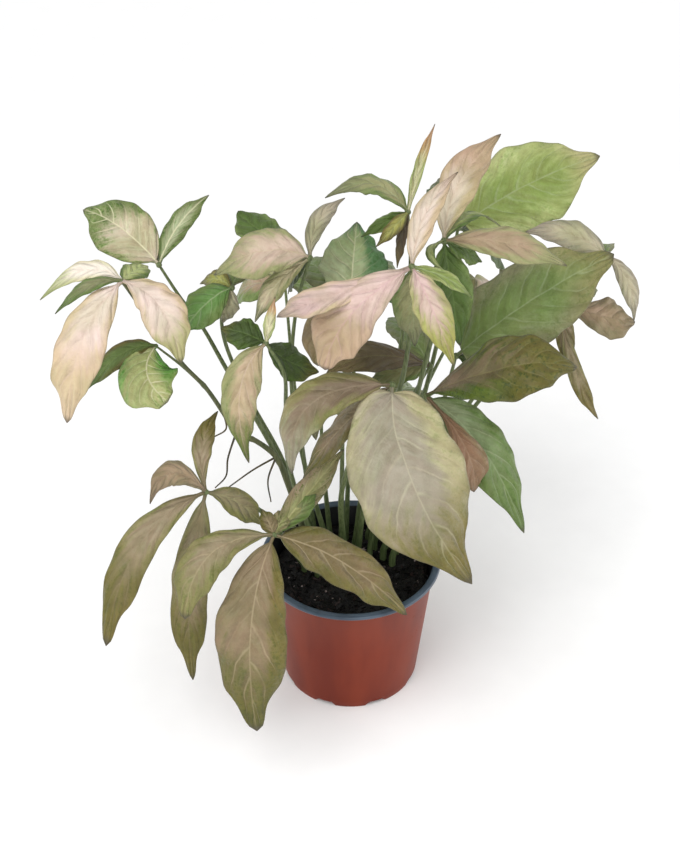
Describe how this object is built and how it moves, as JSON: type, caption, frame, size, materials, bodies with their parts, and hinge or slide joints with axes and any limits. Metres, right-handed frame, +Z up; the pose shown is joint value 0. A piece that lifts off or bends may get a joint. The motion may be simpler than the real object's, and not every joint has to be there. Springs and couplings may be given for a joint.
{
  "type": "potted syngonium",
  "caption": "Bushy house plant with long-stalked compound leaves of arched, pointed pink and green leaflets, in a round tapered plastic nursery pot filled with peat.",
  "frame": {"origin": "centre of the flat pad under the pot, on the surface that the pot stands on", "axes": "+Z up along the pot's axis; the viewer stands on the -Y side; +X to the viewer's right"},
  "size_m": [0.3698, 0.3308, 0.3974],
  "materials": {
    "pot": "thin moulded plastic, terracotta-coloured outside, black rim and inside",
    "soil": "dark moist peat with brown chips",
    "leaf_pink": "satin leaf skin, pink to beige with green margins",
    "leaf_olive": "satin leaf skin, brown-pink to olive with pale veins",
    "leaf_green": "satin leaf skin, green with pale veins"
  },
  "bodies": {
    "root": {"pot": "pot", "soil": "soil", "climbing_stem": "leaf_pink", "leaf_low_front": "leaf_olive", "leaf_low_left": "leaf_olive", "leaf_front_big": "leaf_pink", "leaf_right_big": "leaf_olive", "leaf_right_upper": "leaf_green", "leaf_crown_front": "leaf_pink", "leaf_crown_right": "leaf_pink", "leaf_top_green": "leaf_green", "leaf_far_right": "leaf_pink", "leaf_right_behind": "leaf_olive", "leaf_top_young": "leaf_green", "leaf_crown_left": "leaf_pink", "leaf_middle_back": "leaf_green", "leaf_left_middle": "leaf_green", "leaf_upper_left": "leaf_green", "leaf_middle_left": "leaf_pink", "leaf_middle_right": "leaf_green", "leaf_back_left": "leaf_green", "leaf_back_middle": "leaf_green", "leaf_back_right": "leaf_green", "leaf_back_low": "leaf_green", "leaf_back_low_left": "leaf_green"}
  },
  "joints": []
}
